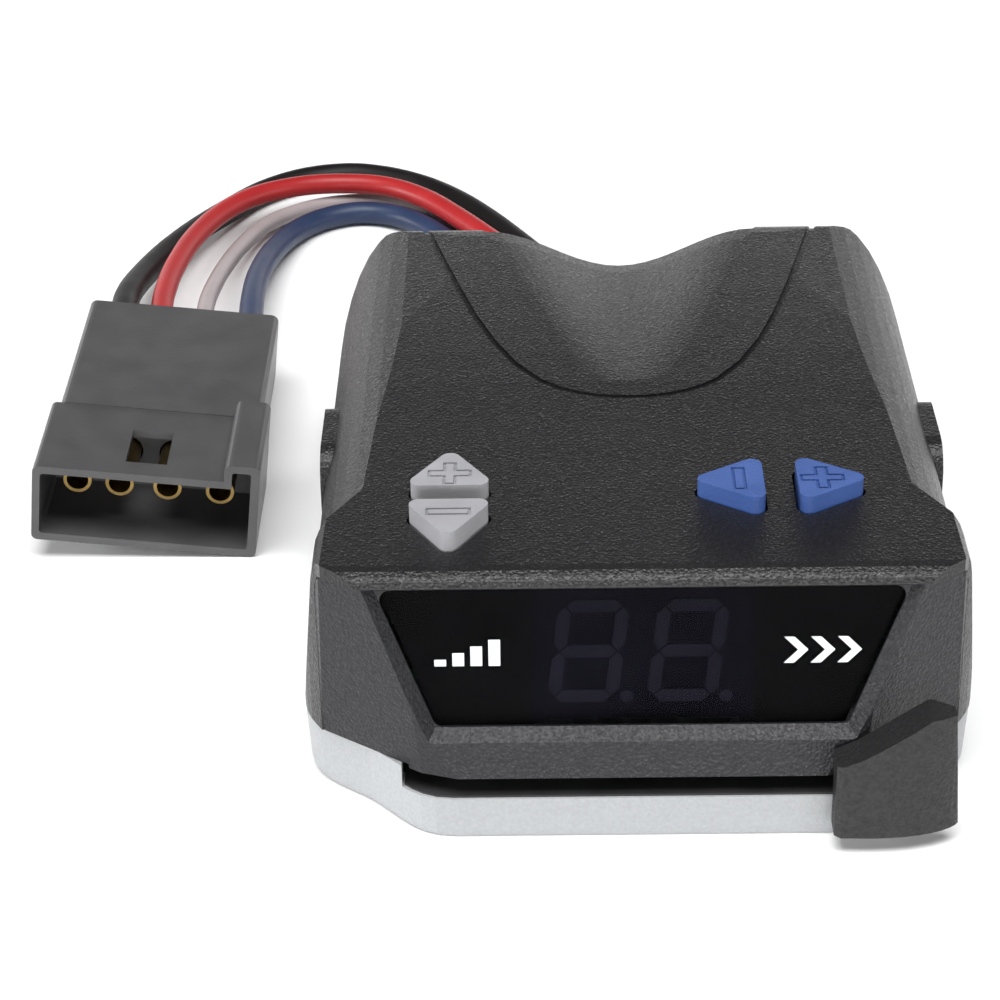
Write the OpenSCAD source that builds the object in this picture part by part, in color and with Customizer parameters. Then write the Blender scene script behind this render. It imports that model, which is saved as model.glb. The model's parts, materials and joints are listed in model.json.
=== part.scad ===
// Trailer brake controller: a two-part plastic case with a digital display, four push
// buttons, a sprung manual lever, its electronics, and a short four-wire lead to a plug.
// Millimetres. +Z up, front towards -Y, origin under the middle of the case on the surface.

/* [Case] */
// Width of the case at the base, mm
case_width = 88.8; // [86:0.2:92]
// Wall thickness of the moulded shells, mm
wall = 2.2; // [1.8:0.1:2.4]
// How far the front face leans back, degrees
face_tilt = 9.4; // [7:0.2:11]
// Height of the lower shell, mm
base_height = 9.6; // [9.4:0.1:9.8]

/* [Display] */
// Height of one digit, mm
digit_height = 14.2; // [12:0.1:14.4]
// Distance between the two digits, mm
digit_pitch = 12.7; // [12.4:0.1:12.8]
// How far the window sits behind the front face, mm
lens_depth = 2.2; // [2:0.1:2.2]

/* [Buttons] */
// Long side of a triangular button, mm
button_base = 10.2; // [9:0.1:10.6]
// Length from the long side to the tip, mm
button_length = 8.6; // [7.6:0.1:8.8]
// Height of the button tops above the surface, mm
button_top = 39.6; // [39.2:0.1:40.2]
// Gap around each button in its hole, mm
button_gap = 0.35; // [0.3:0.05:0.5]

/* [Manual lever] */
// How far the lever stands proud of the base, mm
lever_reach = 4.4; // [4:0.1:4.5]
// Width of the lever's finger piece, mm
lever_width = 16.2; // [14.2:0.2:16.4]
// Height of the finger piece at its high end, mm
lever_top = 20; // [18.6:0.2:20.4]

/* [Mounting holes] */
// Radius of the threaded hole in each side insert, mm
insert_hole_r = 1.4; // [1.2:0.05:1.6]

/* [Plug] */
// Width of the plug's mouth end, mm
plug_width = 34; // [33.6:0.1:34.4]
// Height of the plug's mouth end, mm
plug_height = 12.7; // [12.4:0.1:13]
// Overall length of the plug, mm
plug_length = 56.5; // [55:0.5:56.5]

/* [Wires] */
// Diameter of the black wire, mm
black_d = 4.6; // [4.2:0.1:4.6]
// Diameter of the red wire, mm
red_d = 3.8; // [3.4:0.1:3.9]
// Diameter of the white wire, mm
white_d = 3; // [2.6:0.1:3.2]
// Diameter of the blue wire, mm
blue_d = 4.2; // [3.8:0.1:4.4]

/* [Hidden] */
$fn = 48;
half = case_width / 2;
front_y = -52.5;
case_depth = 107;
seam = 0.15;
eps = 0.01;

// Smooth curve through four control points, without its last point.
function bez(a, b, c, d, n) =
  [for (i = [0 : n - 1])
    let (t = i / n)
    pow(1 - t, 3) * a + 3 * pow(1 - t, 2) * t * b
    + 3 * (1 - t) * t * t * c + pow(t, 3) * d];

// Right half of the rear of the case seen from above, front to rear.
rear_outline = concat(
  bez([half, 62], [half, 80], [half - 1.2, 90], [half - 3.3, 97], 5),
  bez([half - 3.3, 97], [half - 5.4, 104.4], [half - 8, case_depth], [half - 13, case_depth], 6),
  [[half - 13, case_depth]]);

// The lower shell is swept back at its front corners; the upper one is squarer.
low_outline = concat(
  bez([half - 19.8, 0], [half - 14.8, 0], [half - 12.9, 3.5], [half - 10, 6.4], 6),
  bez([half - 10, 6.4], [half - 7.8, 9], [half - 5.8, 9.8], [half - 3.4, 11.9], 5),
  bez([half - 3.4, 11.9], [half - 1.2, 13.8], [half, 15.4], [half, 19.4], 5),
  rear_outline);
high_outline = concat(
  [[half - 7.2, 0]],
  bez([half - 6.6, 2.4], [half - 4.8, 4.8], [half - 3.8, 7.4], [half - 2.9, 10.6], 4),
  bez([half - 2.9, 10.6], [half - 1.4, 13.2], [half, 14.8], [half, 19.4], 5),
  rear_outline);

// Front face line: how far back the face is at a height z.
function face_y(z) = 0.4 + (z - 9) * tan(face_tilt);

// The roof line from the brow to the rear, as [y, z].
roof = concat(
  [[7.6, 36.8], [31.5, 37.7]],
  bez([45, 38.3], [60, 39.2], [82, 39.9], [100, 39.8], 6),
  bez([100, 39.8], [104.6, 39.5], [106.9, 37.6], [case_depth, 33.5], 6),
  [[case_depth, 33.5]]);
side_profile = concat(
  [[0.4, 0], [0.4, 9]],
  bez([face_y(34.4), 34.4], [face_y(35.8), 35.8], [5.3, 36.7], [7.6, 36.8], 5),
  roof,
  [[case_depth, 0]]);

// Front views of the outside: broad shoulders behind, a squarer block at the front.
soft_profile = concat(
  [[half, 0], [half, 9.5]],
  bez([half - 1.4, 23], [half - 1.8, 31], [half - 4.8, 36.6], [half - 12, 39.4], 8),
  [[half - 12, 39.4], [0, 41]]);
square_profile = concat(
  [[half, 0], [half, 9.5]],
  bez([half - 2.2, 32.5], [half - 2.5, 35.6], [half - 3.8, 38], [half - 7, 39.2], 5),
  [[half - 7, 39.2], [0, 40.6]]);

// A closed shape from the points of its right half.
module both_sides(right) {
  left = [for (i = [len(right) - 1 : -1 : 0]) [-right[i][0], right[i][1]]];
  polygon(concat(right, left));
}

// Everything below works in the case's own frame, with y = 0 at the front of the base.
module in_case() {
  translate([0, front_y, 0])
    children();
}

// A front view extruded from y0 to y1.
module front_prism(y0, y1, inset, right) {
  translate([0, y1, 0])
    rotate([90, 0, 0])
      linear_extrude(height = y1 - y0)
        offset(delta = -inset)
          both_sides(right);
}

// Everything beyond a slanting plane through point p, turned about the upright.
module beyond(p, turn, lean_back, inset) {
  for (s = [0, 1])
    mirror([s, 0, 0])
      translate(p)
        rotate([0, 0, turn])
          rotate([lean_back, 0, 0])
            translate([-70, -60 + inset, -60])
              cube([140, 60, 120]);
}

// The outside of the upper case shrunk inwards by inset.
module case_solid(inset) {
  intersection() {
    translate([0, 0, -1])
      linear_extrude(height = 42)
        offset(delta = -inset)
          both_sides(high_outline);
    translate([-60, 0, 0])
      rotate([90, 0, 90])
        linear_extrude(height = 120)
          offset(delta = -inset)
            polygon(side_profile);
    union() {
      front_prism(-2, 112, inset, soft_profile);
      difference() {
        front_prism(-1, 32, inset, square_profile);
        beyond([half - 11, 30.4, 37.6], 120, -22, inset);
      }
    }
  }
}

// The same with slanting facets beside the display, each meeting the front in two bends.
facet_x = 26.3;
facet_turn = 35;
facet_lean = 3.2;
module faceted_solid(inset, stand_off) {
  difference() {
    case_solid(inset);
    beyond([facet_x + stand_off, 0.4, 9], facet_turn, facet_lean, inset);
    beyond([facet_x - 2.6 + stand_off, 0.4, 9], facet_turn / 2, facet_lean / 2, inset);
  }
}

// Frame of the leaning front face: x across, z up the face, y into the case.
module on_face() {
  translate([0, 0.4, 9])
    rotate([-face_tilt, 0, 0])
      children();
}

// A flat drawing in the x-z plane, thickened from y0 towards the rear.
module slab(y0, thick) {
  translate([0, y0 + thick, 0])
    rotate([90, 0, 0])
      linear_extrude(height = thick)
        children();
}

// The display window's outline, wider at the top, grown by g.
lens_low = 6.6;
lens_high = 25.6;
lens_t = 1.5;
window_round = 1.4;
window_foot = 26.4;
window_top = 33.8;
module window_shape(g) {
  offset(r = window_round + g, $fn = 24)
    offset(delta = -window_round)
      polygon([[-window_foot, lens_low], [window_foot, lens_low],
        [window_top, lens_high], [-window_top, lens_high]]);
}

// Flared mouth of the window: four flat sides opening out to the front.
flare_deep = lens_depth - 0.5;
flare_out = 2.4;
module window_flare() {
  lean = (window_top - window_foot) / (lens_high - lens_low);
  side = sqrt(1 + lean * lean);
  foot = window_foot + flare_out * (side - lean);
  top = window_top + flare_out * (side + lean);
  inner = [[-window_foot, lens_low], [window_foot, lens_low],
    [window_top, lens_high], [-window_top, lens_high]];
  outer = [[-foot, lens_low - flare_out], [foot, lens_low - flare_out],
    [top, lens_high + flare_out], [-top, lens_high + flare_out]];
  polyhedron(
    concat([for (p = inner) [p[0], flare_deep, p[1]]], [for (p = outer) [p[0], -1, p[1]]]),
    [[0, 1, 2, 3], [7, 6, 5, 4], [4, 5, 1, 0], [5, 6, 2, 1], [6, 7, 3, 2], [7, 4, 0, 3]]);
}

// Triangular button outline with its tip towards +y, grown by g.
corner_r = 1.3;
module triangle(g) {
  hull_w = button_base / 2 - corner_r;
  hull_h = button_length - 2 * corner_r;
  offset(r = corner_r + g, $fn = 24)
    polygon([[-hull_w, corner_r], [hull_w, corner_r], [0, corner_r + hull_h]]);
}

// Where each button's long side is and which way its tip points.
buttons = [
  [-24.5, 23, 0],
  [-24.5, 19.5, 180],
  [16.4, 24, 90],
  [20.8, 24, -90]];
flange_z = 33.4;
switch_top = 32.6;

module at_button(i) {
  translate([buttons[i][0], buttons[i][1], 0])
    rotate([0, 0, buttons[i][2]])
      children();
}

stem_y = 3.4;
stem_r = 1.6;
module button(i, mark) {
  in_case()
    at_button(i)
      difference() {
        union() {
          translate([0, 0, flange_z])
            linear_extrude(height = 0.9)
              triangle(0.6);
          translate([0, 0, flange_z])
            linear_extrude(height = button_top - flange_z)
              triangle(0);
          translate([0, stem_y, flange_z - 2.4])
            cylinder(r = stem_r, h = 2.5);
        }
        translate([0, stem_y - 0.2, button_top - 0.35])
          linear_extrude(height = 1)
            rotate([0, 0, -buttons[i][2]])
              mark_outline(mark);
      }
}

// A plus or minus drawn as a thin line around its edge.
module mark_shape(plus, g) {
  bar_long = 5 + g;
  bar_wide = 1 + g;
  square([bar_long, bar_wide], center = true);
  if (plus)
    square([bar_wide, bar_long], center = true);
}

module mark_outline(kind) {
  turn = kind == "bar" ? 90 : 0;
  rotate([0, 0, turn])
    difference() {
      mark_shape(kind == "plus", 0.8);
      mark_shape(kind == "plus", 0);
    }
}

// Screw and standoff places.
case_screws = [[-38.2, 37], [38.2, 37], [-33, 98.5], [33, 98.5]];
board_screws = [[-29, 42], [29, 42], [-29, 86], [29, 86]];
screw_r = 1.4;
screw_head_r = 2.7;
boss_r = 3.2;
boss_hole_top = 20;
board_z = 12;
board_t = 1.6;
key_board_z = 26.4;
key_posts = [[-30, 34], [30, 34], [-32.4, 20.6], [32.4, 20.6]];

// Side fixing pads and their brass inserts.
pad_y = 54;
pad_z = 22;
pad_out = 43.2;
pad_t = 3.4;
insert_r = 2.3;
insert_in = 36.9;

module pad(side) {
  mirror([side < 0 ? 1 : 0, 0, 0])
    translate([pad_out - pad_t, 0, 0])
      rotate([90, 0, 90])
        linear_extrude(height = pad_t)
          offset(r = 4.5, $fn = 32)
            translate([pad_y - 4.5, pad_z - 6])
              square([9, 11]);
}

// Rear scoop: a bell-shaped trough that widens and deepens towards the back.
scoop_front = 53;
scoop_steps = 14;
scoop_cols = 20;
scoop_deep = 6.8;
scoop_rows = [for (k = [0 : scoop_steps]) scoop_front + (case_depth + 3 - scoop_front) * k / scoop_steps];
function scoop_t(y) = (y - scoop_front) / (case_depth - scoop_front);
function scoop_w(y) = 7 + 15 * scoop_t(y);
function scoop_z(y, f) =
  lookup(y, roof) + 0.05 - scoop_deep * pow(scoop_t(y), 1.15) * (1 + cos(180 * f)) / 2;

module scoop(drop) {
  n = scoop_cols + 1;
  low = [for (y = scoop_rows, i = [0 : scoop_cols])
    let (f = 2 * i / scoop_cols - 1)
    [f * scoop_w(y), y, scoop_z(y, f) - drop]];
  high = [for (y = scoop_rows, i = [0 : scoop_cols])
    [(2 * i / scoop_cols - 1) * scoop_w(y), y, 45]];
  m = len(low);
  skin = [for (k = [0 : scoop_steps - 1], i = [0 : scoop_cols - 1])
    let (a = k * n + i, b = a + 1, c = b + n, d = a + n)
    each [[a, b, c], [a, c, d], [m + a, m + c, m + b], [m + a, m + d, m + c]]];
  ends = [for (i = [0 : scoop_cols - 1])
    let (a = i, b = i + 1, c = scoop_steps * n + i, d = c + 1)
    each [[a, m + a, m + b], [a, m + b, b], [c, m + d, m + c], [c, d, m + d]]];
  sides = [for (k = [0 : scoop_steps - 1])
    let (a = k * n, b = a + n, c = a + scoop_cols, d = c + n)
    each [[a, b, m + b], [a, m + b, m + a], [c, m + d, d], [c, m + c, m + d]]];
  polyhedron(concat(low, high), concat(skin, ends, sides), convexity = 6);
}

// A thin line moulded around the scoop, cut to an even depth below the roof.
line_route = concat(
  bez([31.4, 107.5], [26.4, 88], [21.4, 62], [12.6, 53.2], 7),
  bez([12.6, 53.2], [8.6, 49.4], [4, 48.6], [0, 48.6], 5),
  [[0, 48.6]]);
line_wide = 0.9;
line_deep = 0.35;
module line_band() {
  difference() {
    both_sides(line_route);
    translate([0, line_wide])
      scale([1 - line_wide / 30, 1])
        both_sides(line_route);
  }
}

bezel_back = 11;
bezel_top = 35;
bezel_round = 4;
touch = 1.2;
hood = 1.1;
chin_z = 9;
chin_left = -30.7;
chin_right = 37.7;

// The space the display surround fills: in front of one seam and below another.
module bezel_zone(gap) {
  translate([-60, 0, 0])
    rotate([90, 0, 90])
      linear_extrude(height = 120)
        offset(r = bezel_round, $fn = 32)
          translate([-20, -20])
            square([20 + bezel_back - bezel_round - gap, 20 + bezel_top - bezel_round - gap]);
}

module upper_housing() {
  color("#232326")
    in_case()
      difference() {
        union() {
          difference() {
            faceted_solid(0, hood);
            difference() {
              faceted_solid(wall, hood);
              scoop(wall);
            }
          }
          intersection() {
            case_solid(0.5);
            union() {
              for (p = case_screws)
                translate([p[0], p[1], base_height])
                  cylinder(r = boss_r, h = 40);
              for (p = key_posts)
                translate([p[0], p[1], key_board_z + board_t])
                  cylinder(r = 2, h = 20);
            }
          }
          for (s = [-1, 1]) {
            pad(s);
            mirror([s < 0 ? 1 : 0, 0, 0])
              translate([insert_in, pad_y, pad_z])
                rotate([0, 90, 0])
                  cylinder(r = insert_r + 1.6, h = 4);
          }
        }
        translate([-60, -10, -5])
          cube([120, 140, 5 + base_height]);
        bezel_zone(0);
        for (s = [0, 1])
          mirror([s, 0, 0])
            translate([insert_in - 1, pad_y, pad_z])
              rotate([0, 90, 0])
                cylinder(r = insert_r, h = 12);
        for (p = case_screws)
          translate([p[0], p[1], base_height - 1])
            cylinder(r = screw_r, h = boss_hole_top - base_height + 1);
        for (i = [0 : 3])
          at_button(i)
            translate([0, 0, 34])
              linear_extrude(height = 8)
                triangle(button_gap);
        scoop(0);
        difference() {
          translate([0, 0, 25])
            linear_extrude(height = 20)
              line_band();
          difference() {
            case_solid(line_deep);
            scoop(line_deep);
          }
        }
      }
}

// The display surround: the whole front of the black shell below the brow.
module front_bezel() {
  color("#2a2a2d")
    in_case()
      difference() {
        union() {
          intersection() {
            difference() {
              faceted_solid(0, 0);
              faceted_solid(wall, 0);
            }
            bezel_zone(seam);
            union() {
              translate([-60, -5, base_height])
                cube([120, 20, 40]);
              translate([chin_left, -5, chin_z])
                cube([chin_right - chin_left, 8, 2]);
            }
          }
          intersection() {
            on_face()
              slab(wall - 0.2, lens_depth - wall + 0.2 + lens_t)
                difference() {
                  window_shape(2.4);
                  window_shape(1.1);
                }
            translate([-60, 0, 0])
              cube([120, 20, bezel_top - seam]);
          }
          for (s = [-1, 1]) {
            translate([s * (half - 4.4) - touch / 2, bezel_back - 1, 20])
              cube([touch, 1, 5]);
            translate([s * 20 - touch, 5.6, bezel_top - 1])
              cube([2 * touch, touch, 1]);
          }
        }
        translate([-36, 7.2, 30])
          cube([72, 5, 10]);
        on_face() {
          slab(-3, 8)
            window_shape(0);
          window_flare();
        }
        on_face()
          slab(lens_depth, 5)
            window_shape(1.1);
      }
}

module display_lens() {
  color("#0c0c10")
    in_case()
      intersection() {
        on_face()
          slab(lens_depth, lens_t)
            window_shape(1.05);
        translate([-60, 0, 0])
          cube([120, 20, bezel_top - 2 * seam]);
      }
}

// Digits: seven bars each, leaning a little to the right, and a point.
lean = tan(7);
bar_w = 1.7;
digit_w = 7.4;
display_mid = 15.9;
function lean_pt(p) = [p[0] + p[1] * lean, p[1] + display_mid];

// A bar with pointed ends from (x0, z0) to (x1, z1).
module bar(x0, z0, x1, z1) {
  dx = x1 - x0;
  dz = z1 - z0;
  size = sqrt(dx * dx + dz * dz);
  u = [dx, dz] / size;
  n = [-u[1], u[0]] * bar_w / 2;
  a = [x0, z0] + u * 0.15;
  b = [x1, z1] - u * 0.15;
  shift = u * bar_w / 2;
  polygon([for (p = [a, a + shift + n, b - shift + n, b, b - shift - n, a + shift - n])
    lean_pt(p)]);
}

module digit(cx) {
  w = digit_w / 2;
  h = digit_height / 2 - bar_w / 2;
  bar(cx - w, h, cx + w, h);
  bar(cx - w, 0, cx + w, 0);
  bar(cx - w, -h, cx + w, -h);
  for (s = [-1, 1]) {
    bar(cx + s * w, 0, cx + s * w, h);
    bar(cx + s * w, -h, cx + s * w, 0);
  }
  translate(lean_pt([cx + w + 2, -h - 0.1]))
    circle(r = 0.85, $fn = 24);
}

led_front = 4.5;
led_deep = 8;
module led_display() {
  color("#17171a")
    in_case()
      on_face()
        slab(led_front, led_deep)
          translate([-12.6, display_mid - 9.5])
            square([25.2, 19]);
}

module led_segments() {
  color("#3c3d42")
    in_case()
      on_face()
        slab(led_front - 0.2, 0.2)
          for (s = [-0.5, 0.5])
            digit(s * digit_pitch - 0.4);
}

module display_board() {
  color("#1d4a2c")
    in_case()
      on_face()
        slab(led_front + led_deep, board_t)
          translate([-18, 5])
            square([36, 21]);
}

// Lower shell, with the lever slot in its front edge.
slot_low = 6.1;
slot_left = -31;
slot_right = 38;
rod_y = 15.5;
rod_z = 5.4;
rod_r = 1.2;
gland_half = 10.6;
rod_half = 40.6;
floor_t = 2;

side_draft = 0.5;
base_rings = [[0, side_draft + 0.8, 0.3], [0.5, side_draft + 0.25, 0.1],
  [1.3, side_draft, 0], [base_height - seam, 0, 0]];

// The outline of the lower shell drawn in by across at each side and by along at each end.
function drawn_in(across, along) = [for (p = low_outline)
  [p[0] * (1 - across / half), case_depth / 2 + (p[1] - case_depth / 2) * (1 - 2 * along / case_depth)]];

// The lower shell's outside: its sides lean in towards the bottom and turn under.
module base_outer() {
  m = 2 * len(low_outline);
  last = len(base_rings) - 1;
  pts = [for (k = base_rings)
    let (right = drawn_in(k[1], k[2]))
    each concat(
      [for (p = right) [p[0], p[1], k[0]]],
      [for (i = [len(right) - 1 : -1 : 0]) [-right[i][0], right[i][1], k[0]]])];
  sides = [for (k = [0 : last - 1], j = [0 : m - 1])
    let (a = k * m + j, b = k * m + (j + 1) % m)
    each [[a, b + m, b], [a, a + m, b + m]]];
  floor_face = [for (j = [0 : m - 1]) j];
  top_face = [for (j = [m - 1 : -1 : 0]) last * m + j];
  polyhedron(pts, concat(sides, [floor_face], [top_face]), convexity = 4);
}

// Floor, walls and the two posts that hold the lever's rod.
rod_post = 35.7;
module base_shell() {
  intersection() {
    base_outer();
    union() {
      difference() {
        translate([-60, -5, 0])
          cube([120, 120, 20]);
        translate([0, 0, floor_t])
          linear_extrude(height = 20)
            offset(delta = -wall)
              both_sides(drawn_in(side_draft, 0));
      }
      for (s = [0, 1])
        mirror([s, 0, 0])
          translate([rod_post, rod_y - 3.1, 1])
            cube([7, 6.2, 7.2]);
    }
  }
}

module base_housing() {
  color("#c9cbcd")
    in_case()
      difference() {
        union() {
          base_shell();
          for (p = case_screws)
            translate([p[0], p[1], 1])
              cylinder(r = boss_r, h = base_height - 1);
        }
        translate([slot_left, -5, slot_low])
          cube([slot_right - slot_left, 18, 10]);
        translate([-gland_half, 100, 2.6])
          cube([2 * gland_half, 10, 10]);
        for (p = case_screws)
          translate([p[0], p[1], -1]) {
            cylinder(r = screw_r + 0.2, h = 20);
            cylinder(r = screw_head_r + 0.3, h = 3.4);
          }
        translate([-rod_half, rod_y, rod_z])
          rotate([0, 90, 0])
            cylinder(r = rod_r, h = 2 * rod_half);
      }
}

// Posts inside the lower shell that carry the circuit board.
module board_standoffs() {
  color("#b9bbbe")
    in_case()
      for (p = board_screws)
        difference() {
          translate([p[0], p[1], floor_t])
            cylinder(r = 2.6, h = board_z - floor_t);
          translate([p[0], p[1], 6])
            cylinder(r = 1.1, h = 10);
        }
}

module housing_screws() {
  color("#6e7176")
    in_case()
      for (p = case_screws)
        difference() {
          translate([p[0], p[1], 0.5])
            union() {
              cylinder(r = screw_head_r, h = 1.9);
              cylinder(r = screw_r, h = 17.5);
            }
          translate([p[0] - 2, p[1] - 0.35, 0])
            cube([4, 0.7, 1.4]);
          translate([p[0] - 0.35, p[1] - 2, 0])
            cube([0.7, 4, 1.4]);
        }
}

module board_screw_set() {
  color("#8a8d92")
    in_case()
      for (p = board_screws)
        difference() {
          union() {
            translate([p[0], p[1], board_z + board_t])
              cylinder(r = 2.2, h = 1.5);
            translate([p[0], p[1], 6.6])
              cylinder(r = 1.1, h = 8);
          }
          translate([p[0] - 1.6, p[1] - 0.3, board_z + board_t + 0.7])
            cube([3.2, 0.6, 2]);
          translate([p[0] - 0.3, p[1] - 1.6, board_z + board_t + 0.7])
            cube([0.6, 3.2, 2]);
        }
}

module mount_inserts() {
  color("#c9a24b")
    in_case()
      for (s = [0, 1])
        mirror([s, 0, 0])
          translate([insert_in, pad_y, pad_z])
            rotate([0, 90, 0])
              difference() {
                cylinder(r = insert_r, h = pad_out - insert_in - 0.3);
                translate([0, 0, 0.8])
                  cylinder(r = insert_hole_r, h = 12);
              }
}

// Main circuit board: wide at the front over the slide sensor, narrower behind.
module main_board() {
  color("#1f5a35")
    in_case()
      difference() {
        translate([0, 0, board_z])
          linear_extrude(height = board_t)
            union() {
              translate([-38, 19.5])
                square([76, 11]);
              translate([-33.4, 30])
                square([66.8, 62]);
            }
        for (p = board_screws)
          translate([p[0], p[1], board_z - 1])
            cylinder(r = 1.1, h = 4);
      }
}

// Small board that carries the four key switches under the button panel.
module key_board() {
  color("#1f5a35")
    in_case()
      translate([0, 0, key_board_z])
        linear_extrude(height = board_t)
          union() {
            translate([-34.6, 18.6])
              square([69.2, 17.4]);
            translate([-32, 10.4])
              square([13, 10]);
          }
}

switch_half = 2.9;
module key_switches() {
  color("#2b2c30")
    in_case()
      for (i = [0 : 3])
        at_button(i)
          difference() {
            translate([-switch_half, stem_y - switch_half, key_board_z + board_t])
              cube([2 * switch_half, 2 * switch_half, switch_top - key_board_z - board_t]);
            translate([0, stem_y, switch_top - 3.4])
              cylinder(r = stem_r + 0.1, h = 5);
          }
}

module board_link() {
  color("#26272a")
    in_case()
      translate([-16, 31, board_z + board_t])
        cube([32, 2.6, key_board_z - board_z - board_t]);
}

pin_pitch = 2.54;
module display_header() {
  color("#c8a850")
    difference() {
      in_case()
        for (i = [-3.5 : 1 : 3.5])
          translate([i * pin_pitch - 0.32, 15, 14.7])
            cube([0.64, 6, 0.64]);
      display_board();
    }
}

module header_block() {
  color("#1c1c1f")
    in_case()
      translate([-10.2, 21, board_z + board_t])
        cube([20.4, pin_pitch, pin_pitch]);
}

module control_chip() {
  color("#202124")
    in_case()
      translate([-14, 40, board_z + board_t])
        cube([10, 10, 1.8]);
}

module motion_sensor() {
  color("#3a3b40")
    in_case()
      translate([8, 40, board_z + board_t])
        cube([9, 9, 3.2]);
}

capacitors = [[-22, 60, 5, 13], [-22, 72, 5, 13], [-9, 62, 4, 10]];
module capacitor_set() {
  color("#24344f")
    in_case()
      for (c = capacitors)
        translate([c[0], c[1], board_z + board_t])
          cylinder(r = c[2], h = c[3]);
}

// Finned aluminium sink with the two power transistors bolted flat on its face.
sink_y = 78;
module heat_sink() {
  color("#a9adb2")
    in_case()
      translate([-4, sink_y, board_z + board_t]) {
        cube([28, 2.5, 12.4]);
        for (i = [0 : 4])
          translate([i * 6.5, 2.5 - eps, 0])
            cube([2, 9, 12.4]);
      }
}

module power_transistors() {
  color("#1b1b1e")
    in_case()
      for (x = [-1.5, 11.5])
        translate([x, sink_y - 4.5, board_z + board_t])
          cube([10, 4.5, 11.5]);
}

// Manual lever: finger piece outside, blade through the slot, carriage on a rod inside.
lever_left = 24.4;
lever_right = lever_left + lever_width;
lever_low = 2.5;
blade_x = 28.6;
blade_w = 6;
blade_low = 6.7;
blade_high = 8.4;

lever_plan = concat(
  [[lever_right - 3.6, 4], [lever_right - 3.6, 1.2]],
  bez([lever_right, -1.1], [lever_right - 0.8, -2.6], [lever_right - 5, -lever_reach],
    [lever_left + 5, -lever_reach], 8),
  [[lever_left + 5, -lever_reach], [lever_left + 0.8, -lever_reach + 0.1],
    [lever_left, -lever_reach + 0.8], [lever_left, 4]]);

module lever_knob() {
  color("#29292c")
    in_case()
      difference() {
        translate([0, 0, lever_low])
          linear_extrude(height = 18)
            polygon(lever_plan);
        translate([10, -5, 0])
          rotate([90, 0, 90])
            linear_extrude(height = 40)
              polygon([[4.65, 0], [4.65, 9.2], [4.65 + 11 * tan(face_tilt), 20.2],
                [12, 20.2], [12, 0]]);
        translate([0, 10, 0])
          rotate([90, 0, 0])
            linear_extrude(height = 20)
              polygon([[lever_left - 1, 12.8], [lever_left, 13.2], [lever_left + 3, 14.5],
                [lever_right - 4.6, lever_top - 0.1], [lever_right + 1, lever_top],
                [lever_right + 1, 30], [lever_left - 1, 30]]);
        translate([0, 10, 0])
          rotate([90, 0, 0])
            linear_extrude(height = 20)
              polygon([[lever_right, lever_low], [lever_right - 1.3, 20], [lever_right - 1.3, 30],
                [lever_right + 2, 30], [lever_right + 2, 0], [lever_right, 0]]);
        translate([blade_x, -1.6, blade_low])
          cube([blade_w, 10, blade_high - blade_low]);
      }
}

carriage_x = 27.6;
carriage_w = 8;
tab_x = 30.8;
module lever_carriage() {
  color("#e2e0d8")
    in_case()
      difference() {
        union() {
          translate([blade_x, -1.6, blade_low])
            cube([blade_w, 15, blade_high - blade_low]);
          translate([carriage_x, 12.6, 3])
            cube([carriage_w, 5.8, 8.2]);
          translate([tab_x, 18.3, 7.3])
            cube([1.8, 2.7, 1.4]);
        }
        translate([carriage_x - 1, rod_y, rod_z])
          rotate([0, 90, 0])
            cylinder(r = rod_r + 0.08, h = carriage_w + 2);
      }
}

module slide_rod() {
  color("#aeb2b6")
    in_case()
      translate([-rod_half, rod_y, rod_z])
        rotate([0, 90, 0])
          cylinder(r = rod_r, h = 2 * rod_half);
}

// Black strip along the inside of the slot, folded forwards over its lower edge.
strip_top = 6.4;
module slot_strip() {
  color("#151517")
    in_case() {
      intersection() {
        translate([-36, 1, floor_t])
          cube([72, 8, slot_low - floor_t]);
        linear_extrude(height = 20)
          offset(delta = -wall - 0.05)
            both_sides(drawn_in(side_draft, 0));
      }
      intersection() {
        translate([chin_left, 0, slot_low])
          cube([chin_right - chin_left, 9, strip_top - slot_low]);
        linear_extrude(height = 20)
          offset(delta = -0.35)
            both_sides(drawn_in(side_draft, 0));
      }
    }
}

module slide_sensor() {
  color("#4a4c50")
    in_case()
      difference() {
        translate([-24, 20, 5])
          cube([62, 8, board_z - 5]);
        translate([-21, 19, 6.9])
          cube([56.5, 3, 2.2]);
      }
}

// Coil spring that pushes the lever back to the right.
spring_left = -rod_post;
spring_right = 27.5;
spring_r = 2;
spring_wire = 0.3;
spring_turns = 17;
spring_steps = 10;
function spring_pt(k, j) =
  let (t = k / (spring_turns * spring_steps), a = 360 * k / spring_steps, b = 360 * j / 5,
    r = spring_r + spring_wire * cos(b),
    x0 = spring_left + spring_wire, x1 = spring_right - spring_wire)
  [x0 + (x1 - x0) * t + spring_wire * sin(b), rod_y + r * cos(a), rod_z + r * sin(a)];

module return_spring() {
  n = spring_turns * spring_steps;
  pts = [for (k = [0 : n], j = [0 : 4]) spring_pt(k, j)];
  sides = [for (k = [0 : n - 1], j = [0 : 4])
    let (a = k * 5 + j, b = k * 5 + (j + 1) % 5)
    each [[a, b, b + 5], [a, b + 5, a + 5]]];
  caps = [[4, 3, 2, 1, 0], [for (j = [0 : 4]) n * 5 + j]];
  color("#b4b7ba")
    in_case()
      polyhedron(pts, concat(sides, caps), convexity = 8);
}

// Rubber block where the wires leave the rear wall.
gland_out = 2.5;
module wire_gland() {
  color("#1a1a1c")
    in_case() {
      translate([-gland_half, case_depth - wall - 1.4, 2.6])
        cube([2 * gland_half, wall + 1.4 + eps, base_height - 2.6 - seam]);
      translate([-gland_half - 1.8, case_depth, 1.6])
        cube([2 * (gland_half + 1.8), gland_out, 8.6]);
    }
}

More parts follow.
